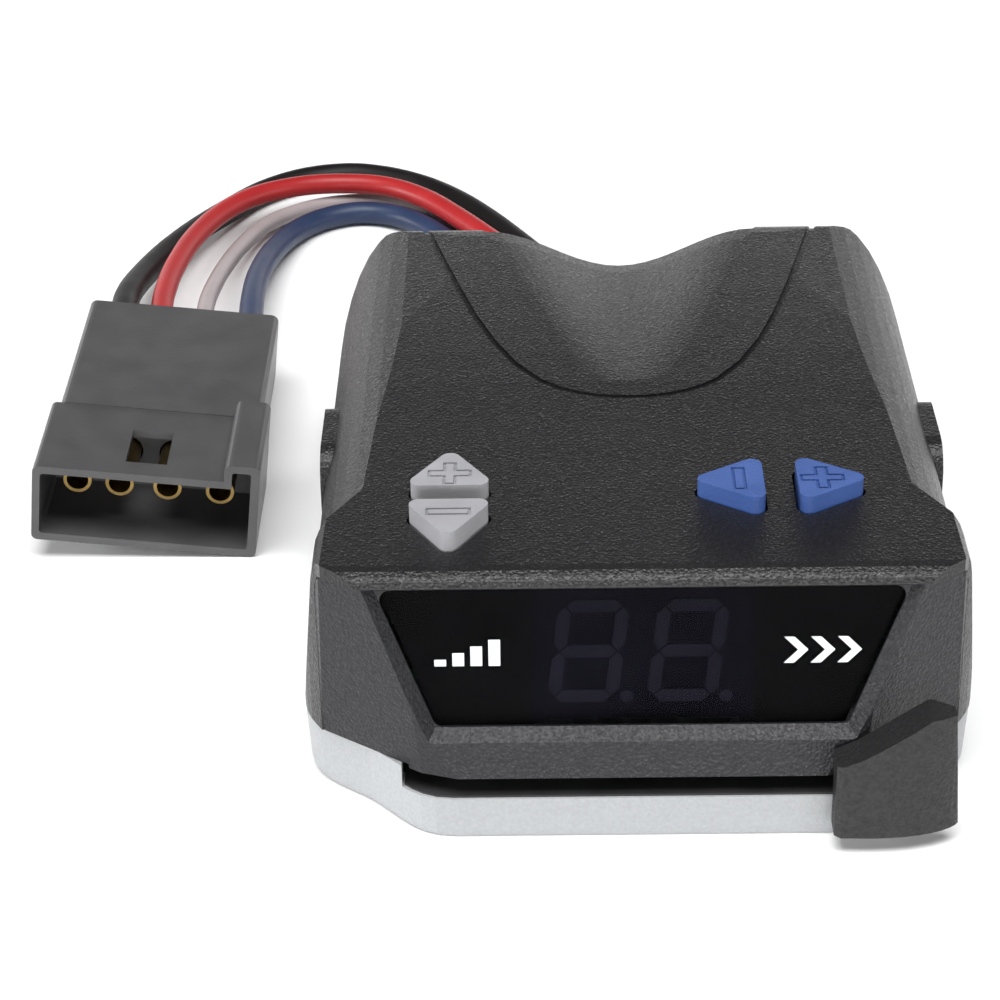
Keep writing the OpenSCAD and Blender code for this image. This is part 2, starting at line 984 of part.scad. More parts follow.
// Plug frame: it lies rolled a little, on its right lower edge and a rib below.
plug_roll = 6.3;
plug_corner = [-56, 18.5];
plug_half = plug_width / 2;
plug_front_len = 20.5;
plug_rear_half = 15.7;
module in_plug() {
  translate([plug_corner[0], plug_corner[1], 0])
    rotate([0, plug_roll, 0])
      translate([-plug_half, 0, 0])
        children();
}

pin_x = [-11, -4.6, 2.7, 10.7];
pin_z = 7.2;
key_left = 11.6;
key_high = plug_height + 2.8;
skid_high = 2.85;

module rounded_bar(x0, x1, z0, z1, r) {
  translate([x0 + r, z0 + r])
    offset(r = r, $fn = 16)
      square([x1 - x0 - 2 * r, z1 - z0 - 2 * r]);
}

module plug_housing() {
  color("#3d3e41")
    in_plug()
      difference() {
        union() {
          slab(0, plug_front_len)
            rounded_bar(-plug_half, plug_half, 0, plug_height, 0.9);
          slab(0, plug_front_len + 0.3)
            rounded_bar(key_left, plug_half, 4, key_high, 1.1);
          slab(plug_front_len - 0.1, plug_length - plug_front_len + 0.1)
            rounded_bar(-plug_rear_half, plug_rear_half, 0.5, plug_height + 0.2, 1.2);
          translate([-13, 9, -skid_high])
            cube([4, 40, skid_high + 1]);
        }
        slab(-1, 18)
          rounded_bar(-plug_half + 1.15, plug_half - 1.35, 1.2, plug_height - 1.2, 0.5);
        slab(-1, 16)
          rounded_bar(key_left + 1.2, plug_half - 1.35, 5, key_high - 1.2, 0.4);
        translate([-3.5, 3.7, plug_height - 3])
          cube([6.2, 9.9, 8]);
        for (x = pin_x)
          translate([x, 16, pin_z])
            rotate([-90, 0, 0])
              cylinder(r = 2.4, h = 60, $fn = 32);
        slab(plug_length - 4, 6)
          rounded_bar(-13.8, 13.8, pin_z - 3.6, pin_z + 3.6, 0.8);
      }
}

// Gold sockets, open at the front, one for each wire.
module plug_sockets() {
  color("#d9b45a")
    in_plug()
      for (x = pin_x)
        translate([x, 6.5, pin_z])
          rotate([-90, 0, 0])
            difference() {
              cylinder(r = 2.15, h = 22, $fn = 32);
              translate([0, 0, -1])
                cylinder(r = 1.65, h = 15, $fn = 32);
            }
}

module plug_rear_lock() {
  color("#2c2d30")
    in_plug()
      slab(plug_length - 4, 4)
        rounded_bar(-13.8, 13.8, pin_z - 3.6, pin_z + 3.6, 0.8);
}

// Routes of the four wires from the gland to the plug, front frame, mm.
wire_out_y = front_y + case_depth + gland_out;
plug_back = plug_corner[1] + plug_length;
blue_route = [
  [-7.5, wire_out_y, 5.6], [-7.6, 62, 5.5], [-8.2, 70, 4.4], [-9.8, 79, 2.9], [-12.6, 90, 2.2],
  [-16.6, 101, 2.2], [-21.6, 112.5, 2.2], [-27.2, 123.8, 2.2], [-33.2, 133.4, 2.2],
  [-39, 138.8, 2.2], [-46, 140.6, 2.2], [-53, 137.6, 2.2], [-58, 130.6, 2.6],
  [-61, 119, 4], [-62.2, 106, 5.8], [-62.2, 94, 7], [-61.7, 84, 7.6], [-61.5, 78, 7.8],
  [-61.5, plug_back, 7.8]];
white_route = [
  [-2.7, wire_out_y, 5.6], [-2.8, 62, 5.2], [-3.6, 71, 3.4], [-5.4, 81, 1.8], [-8.2, 92, 1.6],
  [-12, 103, 1.6], [-17, 115, 1.6], [-22.6, 126.4, 1.6], [-29.2, 137, 1.6],
  [-36.4, 144, 1.6], [-44, 147, 1.6], [-51.6, 146.2, 1.6], [-58.4, 141.6, 2],
  [-63.4, 133.6, 2.9], [-66.8, 121, 4.4], [-68.8, 107, 6.2], [-69.7, 93, 7.9],
  [-69.6, 83, 8.5], [-69.5, plug_back, 8.6]];
red_route = [
  [1.8, wire_out_y, 5.6], [1.8, 63, 5.6], [0.8, 74, 5.4], [-2, 87, 5.3], [-6.9, 99, 5.4],
  [-13, 109.6, 5.3], [-19.8, 119.4, 5.3], [-26.2, 129.2, 5.5], [-33.2, 139, 5.5],
  [-41, 145.2, 5.5], [-49.8, 146.9, 5.5], [-58, 144.6, 6], [-65.6, 138.4, 6.8],
  [-71, 129.4, 7.4], [-74.8, 117, 8], [-76.8, 103, 8.6], [-77.2, 91, 9.1], [-76.8, 83, 9.3],
  [-76.7, plug_back, 9.4]];
black_route = [
  [6.8, wire_out_y, 5.6], [6.8, 62, 5.5], [6.2, 70, 4.6], [4.4, 79, 3.2], [1, 90, 2.4],
  [-3.4, 101, 2.4], [-9, 112, 2.4], [-14.8, 123.4, 2.4], [-20.8, 134.4, 2.4],
  [-26.8, 143.6, 2.4], [-33.4, 151, 2.4], [-40.8, 156, 2.4], [-48.8, 158.2, 2.4],
  [-57.4, 156.2, 2.4], [-65, 150.4, 2.4], [-71.2, 141, 2.6], [-76.4, 129.4, 3.6],
  [-80.6, 116, 5], [-83, 102, 7], [-83.6, 92, 8.7], [-83.2, 83, 9.7],
  [-83.1, plug_back, 10]];

// A round tube along a route: one ring at each point, square to the path.
function unit(v) = v / norm(v);
function ring_dir(route, k) =
  k == 0 || k == len(route) - 1 ? [0, k == 0 ? 1 : -1, 0]
  : unit(unit(route[k + 1] - route[k]) + unit(route[k] - route[k - 1]));

module tube(route, d, sides) {
  n = len(route);
  pts = [for (k = [0 : n - 1])
    let (t = ring_dir(route, k), side = unit(cross(t, [0, 0, 1])), up = cross(side, t))
    for (j = [0 : sides - 1])
      route[k] + d / 2 * (cos(360 * j / sides) * side + sin(360 * j / sides) * up)];
  walls = [for (k = [0 : n - 2], j = [0 : sides - 1])
    let (a = k * sides + j, b = k * sides + (j + 1) % sides)
    each [[a, b + sides, b], [a, a + sides, b + sides]]];
  near = [for (j = [0 : sides - 1]) j];
  far = [for (j = [sides - 1 : -1 : 0]) (n - 1) * sides + j];
  polyhedron(pts, concat(walls, [near], [far]), convexity = 4);
}

module wire_black() {
  color("#1d1d1f")
    tube(black_route, black_d, 10);
}

module wire_red() {
  color("#a8282b")
    tube(red_route, red_d, 8);
}

module wire_white() {
  color("#d9d4d2")
    tube(white_route, white_d, 8);
}

module wire_blue() {
  color("#2f3f78")
    tube(blue_route, blue_d, 10);
}

module gain_up_button() {
  color("#b9bbbe")
    button(0, "plus");
}

module gain_down_button() {
  color("#b9bbbe")
    button(1, "minus");
}

module boost_down_button() {
  color("#3d5fb8")
    button(2, "bar");
}

module boost_up_button() {
  color("#3d5fb8")
    button(3, "plus");
}

upper_housing();
front_bezel();
base_housing();
display_lens();
led_display();
led_segments();
display_board();
gain_up_button();
gain_down_button();
boost_down_button();
boost_up_button();
key_board();
key_switches();
board_link();
main_board();
display_header();
header_block();
control_chip();
motion_sensor();
capacitor_set();
heat_sink();
power_transistors();
board_standoffs();
board_screw_set();
housing_screws();
mount_inserts();
lever_knob();
lever_carriage();
slide_rod();
return_spring();
slide_sensor();
slot_strip();
wire_gland();
wire_black();
wire_red();
wire_white();
wire_blue();
plug_housing();
plug_sockets();
plug_rear_lock();
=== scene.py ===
import json
import math

import bmesh
import bpy
from mathutils import Matrix, Vector


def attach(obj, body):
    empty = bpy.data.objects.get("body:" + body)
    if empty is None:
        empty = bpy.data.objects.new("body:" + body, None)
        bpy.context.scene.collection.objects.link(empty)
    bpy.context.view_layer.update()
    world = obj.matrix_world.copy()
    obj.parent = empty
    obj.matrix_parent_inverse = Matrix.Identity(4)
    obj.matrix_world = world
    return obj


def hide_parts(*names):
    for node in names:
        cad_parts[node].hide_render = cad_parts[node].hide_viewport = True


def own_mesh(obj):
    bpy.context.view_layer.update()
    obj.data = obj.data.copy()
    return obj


# Looks of the trailer brake controller: camera, wires, small visual pieces, materials, studio.

MM = 0.001

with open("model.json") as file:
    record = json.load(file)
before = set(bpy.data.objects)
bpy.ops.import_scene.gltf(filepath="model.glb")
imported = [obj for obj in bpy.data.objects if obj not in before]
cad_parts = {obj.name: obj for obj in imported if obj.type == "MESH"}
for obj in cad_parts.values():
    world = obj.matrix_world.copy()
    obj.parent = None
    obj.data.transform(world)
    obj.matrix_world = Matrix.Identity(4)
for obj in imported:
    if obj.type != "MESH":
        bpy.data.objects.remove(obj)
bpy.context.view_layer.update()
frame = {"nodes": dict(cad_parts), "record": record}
nodes = frame["nodes"]
scene = bpy.context.scene


# ------------------------------ camera

CAMERA_AT = (-13.11, -345.42, 219.70)  # mm
CAMERA_YAW = -0.874  # degrees, to the left of +Y
CAMERA_DOWN = 30.0
CAMERA_ROLL = 1.082
LENS_MM = 100.8


def make_camera():
    yaw, down, roll = (math.radians(a) for a in (CAMERA_YAW, CAMERA_DOWN, CAMERA_ROLL))
    ahead = Vector(
        (math.sin(yaw) * math.cos(down), math.cos(yaw) * math.cos(down), -math.sin(down))
    )
    level = Vector((math.cos(yaw), -math.sin(yaw), 0))
    below = ahead.cross(level)
    right = level * math.cos(roll) + below * math.sin(roll)
    up = level * math.sin(roll) - below * math.cos(roll)
    data = bpy.data.cameras.new("camera")
    data.sensor_width = 36
    data.lens = LENS_MM
    data.clip_start = 0.01
    data.clip_end = 20
    cam = bpy.data.objects.new("camera", data)
    scene.collection.objects.link(cam)
    turn = Matrix((right, up, -ahead)).transposed().to_4x4()
    cam.matrix_world = Matrix.Translation(Vector(CAMERA_AT) * MM) @ turn
    scene.camera = cam


make_camera()


# ------------------------------ node material helpers

GRAIN_RELIEF = 0.3 * MM  # leather-like grain on the case
FINE_RELIEF = 0.1 * MM  # smooth mouldings and metal
BOARD_RELIEF = 0.05 * MM  # tracks under the solder mask


def new_material(name):
    mat = bpy.data.materials.new(name)
    mat.use_nodes = True
    tree = mat.node_tree
    shader = tree.nodes["Principled BSDF"]
    return mat, tree, shader


def add(tree, kind, **settings):
    node = tree.nodes.new(kind)
    for key, value in settings.items():
        setattr(node, key, value)
    return node


def noise(tree, scale, detail=3.0, rough=0.5, stretch=None):
    """A noise texture in object space; scale is in features per metre."""
    coords = add(tree, "ShaderNodeTexCoord")
    tex = add(tree, "ShaderNodeTexNoise")
    tex.inputs["Scale"].default_value = scale
    tex.inputs["Detail"].default_value = detail
    tex.inputs["Roughness"].default_value = rough
    source = coords.outputs["Object"]
    if stretch:
        mapping = add(tree, "ShaderNodeMapping")
        mapping.inputs["Scale"].default_value = stretch
        tree.links.new(source, mapping.inputs["Vector"])
        source = mapping.outputs["Vector"]
    tree.links.new(source, tex.inputs["Vector"])
    return tex.outputs["Fac"]


def cells(tree, scale):
    coords = add(tree, "ShaderNodeTexCoord")
    tex = add(tree, "ShaderNodeTexVoronoi", feature="F1")
    tex.inputs["Scale"].default_value = scale
    tree.links.new(coords.outputs["Object"], tex.inputs["Vector"])
    return tex.outputs["Distance"]


def ramp(tree, source, stops):
    """Colours by the source's value; each stop is a place from 0 to 1 and its colour."""
    node = add(tree, "ShaderNodeValToRGB")
    bands = node.color_ramp.elements
    while len(bands) < len(stops):
        bands.new(0.5)
    for band, (place, colour) in zip(bands, stops):
        band.position = place
        band.color = (*colour, 1)
    tree.links.new(source, node.inputs["Fac"])
    return node.outputs["Color"]


def grey(v):
    return (v, v, v)


def mixed(tree, a, b, share):
    """a blended with b, both plain numbers per point."""
    node = add(tree, "ShaderNodeMix", data_type="FLOAT")
    node.inputs["Factor"].default_value = share
    tree.links.new(a, node.inputs[2])
    tree.links.new(b, node.inputs[3])
    return node.outputs[0]


def bump(tree, shader, height, strength, distance):
    node = add(tree, "ShaderNodeBump")
    node.inputs["Strength"].default_value = strength
    node.inputs["Distance"].default_value = distance
    tree.links.new(height, node.inputs["Height"])
    tree.links.new(node.outputs["Normal"], shader.inputs["Normal"])


def textured_plastic(name, low, high, grain, strength, rough, specular=0.5):
    """Moulded plastic with a leather-like grain: low and high are its colours.

    The lighter spots are also the glossier ones, as on the worn tops of a grain.
    """
    mat, tree, shader = new_material(name)
    tone = noise(tree, grain * 0.9, 4, 0.65)
    tree.links.new(ramp(tree, tone, [(0.36, low), (0.66, high)]), shader.inputs["Base Color"])
    fine = noise(tree, grain * 1.6, 3, 0.6)
    coarse = cells(tree, grain)
    height = mixed(tree, fine, coarse, 0.55)
    tree.links.new(
        ramp(tree, tone, [(0.36, grey(rough[1])), (0.66, grey(rough[0]))]),
        shader.inputs["Roughness"],
    )
    shader.inputs["Specular IOR Level"].default_value = specular
    bump(tree, shader, height, strength, GRAIN_RELIEF)
    return mat


def smooth_plastic(name, low, high, rough=0.35, specular=0.5, strength=0.12, grain=1500):
    """Moulded plastic or rubber with a faint fine texture."""
    mat, tree, shader = new_material(name)
    tone = noise(tree, 180, 3)
    tree.links.new(ramp(tree, tone, [(0.3, low), (0.7, high)]), shader.inputs["Base Color"])
    fine = noise(tree, grain, 2)
    tree.links.new(
        ramp(tree, tone, [(0.3, grey(rough * 0.9)), (0.7, grey(rough * 1.1))]),
        shader.inputs["Roughness"],
    )
    shader.inputs["Specular IOR Level"].default_value = specular
    bump(tree, shader, fine, strength, FINE_RELIEF)
    return mat


def metal(name, low, high, rough, grain=900, strength=0.1, stretch=None):
    """Metal with a slightly uneven gloss; stretch draws its texture out like brushing."""
    mat, tree, shader = new_material(name)
    tone = noise(tree, 400, 3, stretch=stretch)
    tree.links.new(ramp(tree, tone, [(0.3, low), (0.7, high)]), shader.inputs["Base Color"])
    shader.inputs["Metallic"].default_value = 1.0
    tree.links.new(
        ramp(tree, tone, [(0.3, grey(rough * 0.85)), (0.7, grey(rough * 1.2))]),
        shader.inputs["Roughness"],
    )
    bump(tree, shader, noise(tree, grain, 2, stretch=stretch), strength, FINE_RELIEF)
    return mat


def circuit_board(name):
    """Green solder mask with faint copper tracks under it."""
    mat, tree, shader = new_material(name)
    coords = add(tree, "ShaderNodeTexCoord")
    brick = add(tree, "ShaderNodeTexBrick")
    brick.inputs["Scale"].default_value = 160
    brick.inputs["Mortar Size"].default_value = 0.03
    brick.inputs["Color1"].default_value = (0.012, 0.10, 0.035, 1)
    brick.inputs["Color2"].default_value = (0.014, 0.12, 0.04, 1)
    brick.inputs["Mortar"].default_value = (0.03, 0.2, 0.07, 1)
    tree.links.new(coords.outputs["Object"], brick.inputs["Vector"])
    tree.links.new(brick.outputs["Color"], shader.inputs["Base Color"])
    shader.inputs["Roughness"].default_value = 0.35
    bump(tree, shader, brick.outputs["Fac"], 0.2, BOARD_RELIEF)
    return mat


def smoked_lens(name):
    """Clear tinted plastic that reflects little."""
    mat, tree, shader = new_material(name)
    haze = noise(tree, 90, 2)
    tree.links.new(
        ramp(tree, haze, [(0.3, (0.42, 0.42, 0.46)), (0.7, (0.45, 0.45, 0.49))]),
        shader.inputs["Base Color"],
    )
    shader.inputs["Transmission Weight"].default_value = 1.0
    shader.inputs["IOR"].default_value = 1.1
    shader.inputs["Roughness"].default_value = 0.03
    return mat


MATERIALS = {
    "black_case": textured_plastic(
        "black_case", (0.0022, 0.0020, 0.0024), (0.0125, 0.0115, 0.0130), 2300, 0.5,
        (0.22, 0.46), 0.42,
    ),
    "bezel_plastic": textured_plastic(
        "bezel_plastic", (0.004, 0.004, 0.0054), (0.015, 0.015, 0.0185), 2200, 0.55,
        (0.28, 0.52), 0.38,
    ),
    "silver_plastic": textured_plastic(
        "silver_plastic", (0.32, 0.33, 0.34), (0.36, 0.37, 0.38), 2400, 0.25, (0.45, 0.6)
    ),
    "smoked_lens": smoked_lens("smoked_lens"),
    "lens_mask": smooth_plastic(
        "lens_mask", (0.0022, 0.0022, 0.0024), (0.0028, 0.0028, 0.0031), 0.6, 0.1, 0.05
    ),
    "print_white": smooth_plastic(
        "print_white", (0.70, 0.74, 0.76), (0.76, 0.80, 0.82), 0.6, 0.2, 0.05
    ),
    "led_body": smooth_plastic(
        "led_body", (0.006, 0.006, 0.014), (0.008, 0.008, 0.018), 0.6, 0.1
    ),
    "led_bars": smooth_plastic(
        "led_bars", (0.036, 0.034, 0.050), (0.042, 0.040, 0.058), 0.6, 0.1
    ),
    "circuit_board": circuit_board("circuit_board"),
    "grey_button": smooth_plastic(
        "grey_button", (0.26, 0.26, 0.275), (0.30, 0.30, 0.315), 0.45, 0.45, 0.4, 2200
    ),
    "blue_button": smooth_plastic(
        "blue_button", (0.034, 0.074, 0.235), (0.044, 0.092, 0.28), 0.40, 0.5, 0.6, 2200
    ),
    "black_component": smooth_plastic(
        "black_component", (0.016, 0.016, 0.017), (0.024, 0.024, 0.026), 0.5
    ),
    "capacitor_sleeve": smooth_plastic(
        "capacitor_sleeve", (0.015, 0.04, 0.10), (0.025, 0.06, 0.14), 0.25
    ),
    # The contacts' gold is painted darker than real gold: painted shade for the contacts deep
    # in the plug's sockets.
    "gold_contact": metal("gold_contact", (0.20, 0.135, 0.05), (0.32, 0.22, 0.085), 0.35),
    "sink_metal": metal(
        "sink_metal", (0.55, 0.56, 0.58), (0.66, 0.67, 0.69), 0.4, 700, 0.2, (1, 1, 8)
    ),
    "steel": metal("steel", (0.42, 0.42, 0.43), (0.52, 0.52, 0.53), 0.32),
    "insert_brass": metal("insert_brass", (0.58, 0.41, 0.15), (0.68, 0.50, 0.20), 0.35),
    "lever_plastic": textured_plastic(
        "lever_plastic", (0.005, 0.0048, 0.0053), (0.017, 0.0163, 0.0175), 2100, 0.55,
        (0.36, 0.6), 0.42,
    ),
    "carriage_plastic": smooth_plastic(
        "carriage_plastic", (0.66, 0.64, 0.58), (0.72, 0.70, 0.64), 0.45
    ),
    "gland_rubber": smooth_plastic(
        "gland_rubber", (0.012, 0.012, 0.013), (0.017, 0.017, 0.018), 0.7, 0.3, 0.4, 900
    ),
    "black_wire": smooth_plastic(
        "black_wire", (0.006, 0.005, 0.005), (0.009, 0.007, 0.007), 0.5, 0.22
    ),
    "red_wire": smooth_plastic(
        "red_wire", (0.33, 0.014, 0.016), (0.37, 0.019, 0.021), 0.42, 0.35
    ),
    "white_wire": smooth_plastic(
        "white_wire", (0.34, 0.29, 0.295), (0.38, 0.33, 0.335), 0.42, 0.4
    ),
    "blue_wire": smooth_plastic(
        "blue_wire", (0.016, 0.030, 0.075), (0.022, 0.038, 0.09), 0.42, 0.4
    ),
    "plug_plastic": smooth_plastic(
        "plug_plastic", (0.052, 0.051, 0.053), (0.064, 0.063, 0.065), 0.36, 0.5, 0.2, 1500
    ),
}


def dress(obj, slot):
    """Gives the object that one material."""
    obj.data.materials.clear()
    obj.data.materials.append(MATERIALS[slot])


# ------------------------------ wires

WIRE_SIDES = 20

# The same routes as the solid tubes, in mm: gland to plug.
WIRE_OUT = 57.0
PLUG_BACK = 75.0
WIRES = {
    "blue": (4.2, [
        (-7.5, WIRE_OUT, 5.6), (-7.6, 62, 5.5), (-8.2, 70, 4.4), (-9.8, 79, 2.9),
        (-12.6, 90, 2.2), (-16.6, 101, 2.2), (-21.6, 112.5, 2.2), (-27.2, 123.8, 2.2),
        (-33.2, 133.4, 2.2), (-39, 138.8, 2.2), (-46, 140.6, 2.2), (-53, 137.6, 2.2),
        (-58, 130.6, 2.6), (-61, 119, 4), (-62.2, 106, 5.8), (-62.2, 94, 7),
        (-61.7, 84, 7.6), (-61.5, 78, 7.8), (-61.5, PLUG_BACK, 7.8)]),
    "white": (3.0, [
        (-2.7, WIRE_OUT, 5.6), (-2.8, 62, 5.2), (-3.6, 71, 3.4), (-5.4, 81, 1.8),
        (-8.2, 92, 1.6), (-12, 103, 1.6), (-17, 115, 1.6), (-22.6, 126.4, 1.6),
        (-29.2, 137, 1.6), (-36.4, 144, 1.6), (-44, 147, 1.6), (-51.6, 146.2, 1.6),
        (-58.4, 141.6, 2), (-63.4, 133.6, 2.9), (-66.8, 121, 4.4), (-68.8, 107, 6.2),
        (-69.7, 93, 7.9), (-69.6, 83, 8.5), (-69.5, PLUG_BACK, 8.6)]),
    "red": (3.8, [
        (1.8, WIRE_OUT, 5.6), (1.8, 63, 5.6), (0.8, 74, 5.4), (-2, 87, 5.3),
        (-6.9, 99, 5.4), (-13, 109.6, 5.3), (-19.8, 119.4, 5.3), (-26.2, 129.2, 5.5),
        (-33.2, 139, 5.5), (-41, 145.2, 5.5), (-49.8, 146.9, 5.5), (-58, 144.6, 6),
        (-65.6, 138.4, 6.8), (-71, 129.4, 7.4), (-74.8, 117, 8), (-76.8, 103, 8.6),
        (-77.2, 91, 9.1), (-76.8, 83, 9.3), (-76.7, PLUG_BACK, 9.4)]),
    "black": (4.6, [
        (6.8, WIRE_OUT, 5.6), (6.8, 62, 5.5), (6.2, 70, 4.6), (4.4, 79, 3.2), (1, 90, 2.4),
        (-3.4, 101, 2.4), (-9, 112, 2.4), (-14.8, 123.4, 2.4), (-20.8, 134.4, 2.4),
        (-26.8, 143.6, 2.4), (-33.4, 151, 2.4), (-40.8, 156, 2.4), (-48.8, 158.2, 2.4),
        (-57.4, 156.2, 2.4), (-65, 150.4, 2.4), (-71.2, 141, 2.6), (-76.4, 129.4, 3.6),
        (-80.6, 116, 5), (-83, 102, 7), (-83.6, 92, 8.7), (-83.2, 83, 9.7),
        (-83.1, PLUG_BACK, 10)]),
}


def smooth_path(points, steps=6):
    """Catmull-Rom curve through the points."""
    pts = [Vector(p) for p in points]
    pts = [2 * pts[0] - pts[1]] + pts + [2 * pts[-1] - pts[-2]]
    out = []
    for a, b, c, d in zip(pts, pts[1:], pts[2:], pts[3:]):
        for i in range(steps):
            t = i / steps
            out.append(
                0.5 * (2 * b + (c - a) * t + (2 * a - 5 * b + 4 * c - d) * t * t
                       + (3 * b - a - 3 * c + d) * t ** 3)
            )
    out.append(pts[-2])
    return out


def finished(name, mesh):
    """The bmesh as an object of the scene, with its faces turned outwards."""
    bmesh.ops.recalc_face_normals(mesh, faces=mesh.faces[:])
    data = bpy.data.meshes.new(name)
    mesh.to_mesh(data)
    mesh.free()
    obj = bpy.data.objects.new(name, data)
    scene.collection.objects.link(obj)
    return obj


def tube(name, path, radius, sides):
    """A closed mesh tube along the path, with rings square to it that don't twist."""
    mesh = bmesh.new()
    side = Vector((1, 0, 0))
    rings = []
    last = len(path) - 1
    for i, place in enumerate(path):
        ahead = (path[min(i + 1, last)] - path[max(i - 1, 0)]).normalized()
        side = (side - ahead * side.dot(ahead)).normalized()
        over = ahead.cross(side)
        ring = []
        for k in range(sides):
            turn = math.tau * k / sides
            spoke = side * math.cos(turn) + over * math.sin(turn)
            ring.append(mesh.verts.new(place + spoke * radius))
        rings.append(ring)
    for near, far in zip(rings, rings[1:]):
        for k in range(sides):
            n = (k + 1) % sides
            mesh.faces.new((near[k], near[n], far[n], far[k])).smooth = True
    mesh.faces.new(list(reversed(rings[0])))
    mesh.faces.new(rings[-1])
    return finished(name, mesh)


def make_wire(colour):
    diameter, route = WIRES[colour]
    path = [p * MM for p in smooth_path(route)]
    obj = tube(f"lead_{colour}", path, diameter / 2 * MM, WIRE_SIDES)
    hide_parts(f"wire_{colour}")
    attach(obj, "housing")
    dress(obj, f"{colour}_wire")


for wire_colour in WIRES:
    make_wire(wire_colour)


# ------------------------------ return spring

SPRING_WIRE = 0.3  # mm, the wire's radius
SPRING_TURNS = 17
SPRING_STEPS = 16  # rings in each turn
SPRING_SIDES = 8


def make_spring():
    """A finer coil in the CAD spring's place."""
    node = nodes["return_spring"]
    corners = [node.matrix_world @ Vector(c) for c in node.bound_box]
    low = Vector([min(c[i] for c in corners) for i in range(3)])
    high = Vector([max(c[i] for c in corners) for i in range(3)])
    middle = (low + high) / 2
    wire = SPRING_WIRE * MM
    radius = (high.z - low.z) / 2 - wire
    steps = SPRING_TURNS * SPRING_STEPS
    path = []
    for i in range(steps + 1):
        turn = math.tau * SPRING_TURNS * i / steps
        x = low.x + wire + (high.x - low.x - 2 * wire) * i / steps
        y = middle.y + radius * math.cos(turn)
        path.append(Vector((x, y, middle.z + radius * math.sin(turn))))
    coil = tube("spring_coil", path, wire, SPRING_SIDES)
    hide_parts("return_spring")
    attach(coil, "housing")
    dress(coil, "steel")
    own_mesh(coil)


make_spring()


# ------------------------------ window: film and printed marks

# The leaning front face: x across, depth into the case, up the face, all in mm.
FACE_TILT = math.radians(9.4)
FACE_FOOT = Vector((0, -52.1, 9))
FACE_UP = Vector((0, math.sin(FACE_TILT), math.cos(FACE_TILT)))
FACE_IN = Vector((0, math.cos(FACE_TILT), -math.sin(FACE_TILT)))
LENS_FRONT, LENS_BACK = 2.2, 3.7


def on_face(x, depth, up):
    return (FACE_FOOT + Vector((x, 0, 0)) + FACE_IN * depth + FACE_UP * up) * MM


def face_plates(name, outlines, depth, thick, material):
    """Thin flat plates on the face, one per outline of (x, up) points."""
    mesh = bmesh.new()
    for outline in outlines:
        near = [mesh.verts.new(on_face(x, depth, up)) for x, up in outline]
        far = [mesh.verts.new(on_face(x, depth + thick, up)) for x, up in outline]
        mesh.faces.new(near)
        mesh.faces.new(list(reversed(far)))
        for i in range(len(outline)):
            j = (i + 1) % len(outline)
            mesh.faces.new((near[j], near[i], far[i], far[j]))
    obj = finished(name, mesh)
    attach(obj, "housing")
    dress(obj, material)


# Black film behind the window with an opening for the digits. It widens upwards, as that does.
FILM_FOOT, FILM_TOP = 6.0, 26.0
FOOT_HALF, TOP_HALF = 26.2, 33.7
OPEN_LEFT, OPEN_RIGHT = -14.0, 14.4
SHEET = 0.1
face_plates(
    "lens_film",
    [
        [(-FOOT_HALF, FILM_FOOT), (OPEN_LEFT, FILM_FOOT),
         (OPEN_LEFT, FILM_TOP), (-TOP_HALF, FILM_TOP)],
        [(OPEN_RIGHT, FILM_FOOT), (FOOT_HALF, FILM_FOOT),
         (TOP_HALF, FILM_TOP), (OPEN_RIGHT, FILM_TOP)],
    ],
    LENS_BACK + 0.05, SHEET, "lens_mask",
)


def upright(left, right):
    return [(left, FILM_FOOT), (right, FILM_FOOT), (right, FILM_TOP), (left, FILM_TOP)]


# Dark strips that carry the digits' background out to the edges of the opening.
BODY_HALF = 12.5  # just under half the width of the digits' body
STRIP_LAP = 0.3
face_plates(
    "led_shroud",
    [upright(OPEN_LEFT - STRIP_LAP, -BODY_HALF), upright(BODY_HALF, OPEN_RIGHT + STRIP_LAP)],
    LENS_BACK + 0.25, SHEET, "led_body",
)

# Plain marks printed on the window: rising bars on the left, arrowheads on the right.
MARK_FOOT, MARK_TALL = 14.9, 3.6
PRINT_SUNK, PRINT_THICK = 0.04, 0.03
BARS_LEFT, BAR_PITCH, BAR_WIDE, BAR_COUNT = -26.4, 2.3, 1.5, 4
HEADS_LEFT, HEAD_PITCH, HEAD_WIDE, HEAD_REACH, HEAD_COUNT = 18.0, 3.4, 1.3, 1.8, 3


def rising_bar(i):
    left = BARS_LEFT + BAR_PITCH * i
    right = left + BAR_WIDE
    top = MARK_FOOT + MARK_TALL * (i + 1) / BAR_COUNT
    return [(left, MARK_FOOT), (right, MARK_FOOT), (right, top), (left, top)]


def arrowhead(i):
    x = HEADS_LEFT + HEAD_PITCH * i
    middle, top = MARK_FOOT + MARK_TALL / 2, MARK_FOOT + MARK_TALL
    return [
        (x, MARK_FOOT), (x + HEAD_WIDE, MARK_FOOT), (x + HEAD_WIDE + HEAD_REACH, middle),
        (x + HEAD_WIDE, top), (x, top), (x + HEAD_REACH, middle)]


for mark, outlines in (
    ("window_mark_left", [rising_bar(i) for i in range(BAR_COUNT)]),
    ("window_mark_right", [arrowhead(i) for i in range(HEAD_COUNT)]),
):
    face_plates(mark, outlines, LENS_FRONT - PRINT_SUNK, PRINT_THICK, "print_white")


# ------------------------------ CAD nodes: materials and soft edges

for entry in frame["record"]["subparts"]:
    node = nodes[entry["node"]]
    if not node.hide_render:
        dress(node, entry["material_slot"])

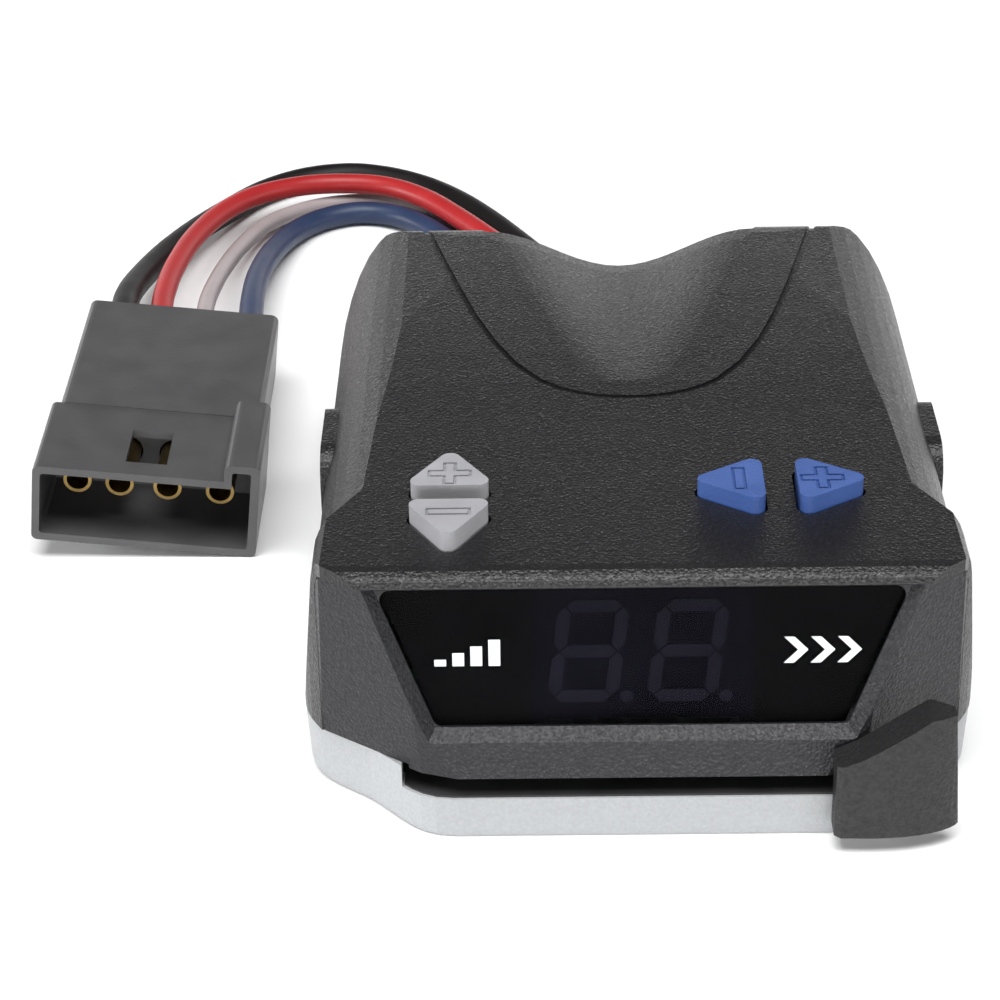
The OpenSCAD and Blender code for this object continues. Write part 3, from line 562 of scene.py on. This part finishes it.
EDGE_ROUND = {  # mm
    "upper_housing": 0.5,
    "front_bezel": 0.5,
    "base_housing": 0.35,
    "lever_knob": 0.9,
    "gain_up_button": 0.5,
    "gain_down_button": 0.5,
    "boost_down_button": 0.5,
    "boost_up_button": 0.5,
    "plug_housing": 0.3,
    "plug_rear_lock": 0.2,
    "wire_gland": 0.4,
    "heat_sink": 0.15,
    "capacitor_set": 0.3,
    "power_transistors": 0.2,
    "housing_screws": 0.1,
}
SHARP_EDGE = math.radians(32)
for name, width in EDGE_ROUND.items():
    soft = nodes[name].modifiers.new("soft_edges", "BEVEL")
    soft.width = width * MM
    soft.segments = 2
    soft.limit_method = "ANGLE"
    soft.angle_limit = SHARP_EDGE


# ------------------------------ studio


FLOOR_HALF = 3.0  # m


def make_floor():
    mesh = bpy.data.meshes.new("floor")
    corners = [
        (x * FLOOR_HALF, y * FLOOR_HALF, 0) for x, y in ((-1, -1), (1, -1), (1, 1), (-1, 1))
    ]
    mesh.from_pydata(corners, [], [(0, 1, 2, 3)])
    floor = bpy.data.objects.new("floor", mesh)
    scene.collection.objects.link(floor)
    mat, tree, shader = new_material("floor")
    tree.links.new(
        ramp(tree, noise(tree, 3, 2), [(0.3, grey(0.86)), (0.7, grey(0.88))]),
        shader.inputs["Base Color"],
    )
    shader.inputs["Roughness"].default_value = 0.9
    shader.inputs["Specular IOR Level"].default_value = 0.1
    mesh.materials.append(mat)


def area_light(name, place, aim, size, power):
    """A soft box at place, in metres, that faces aim."""
    data = bpy.data.lights.new(name, "AREA")
    data.shape = "RECTANGLE"
    data.size, data.size_y = size
    data.energy = power
    lamp = bpy.data.objects.new(name, data)
    scene.collection.objects.link(lamp)
    lamp.location = place
    lamp.rotation_mode = "QUATERNION"
    lamp.rotation_quaternion = (Vector(aim) - Vector(place)).to_track_quat("-Z", "Y")


# Bright round the horizon and dark higher up: the roof stays dark and the sides catch light.
SKY = [(0.0, grey(1.0)), (0.18, grey(1.0)), (0.32, grey(0.05)), (1.0, grey(0.03))]
SKY_STRENGTH = 1.7
OBJECT_MIDDLE = (0, 0, 0.02)
LIGHTS = [  # name, place, aim, size, watts
    ("overhead", (0.0, -0.30, 1.1), (0, 0, 0), (1.2, 0.6), 20),
    ("left", (-0.9, -0.05, 0.22), OBJECT_MIDDLE, (0.5, 0.2), 5),
    ("right", (0.9, -0.05, 0.22), OBJECT_MIDDLE, (0.5, 0.2), 1),
    ("front", (0.0, -1.1, 0.16), OBJECT_MIDDLE, (0.9, 0.3), 5),
]


def make_studio():
    world = bpy.data.worlds.new("studio")
    scene.world = world
    world.use_nodes = True
    back = world.node_tree.nodes["Background"]
    tree = world.node_tree
    coords = add(tree, "ShaderNodeTexCoord")
    height = add(tree, "ShaderNodeSeparateXYZ")
    tree.links.new(coords.outputs["Generated"], height.inputs["Vector"])
    tree.links.new(ramp(tree, height.outputs["Z"], SKY), back.inputs["Color"])
    back.inputs["Strength"].default_value = SKY_STRENGTH
    for light in LIGHTS:
        area_light(*light)
    scene.view_settings.view_transform = "Standard"


make_floor()
make_studio()
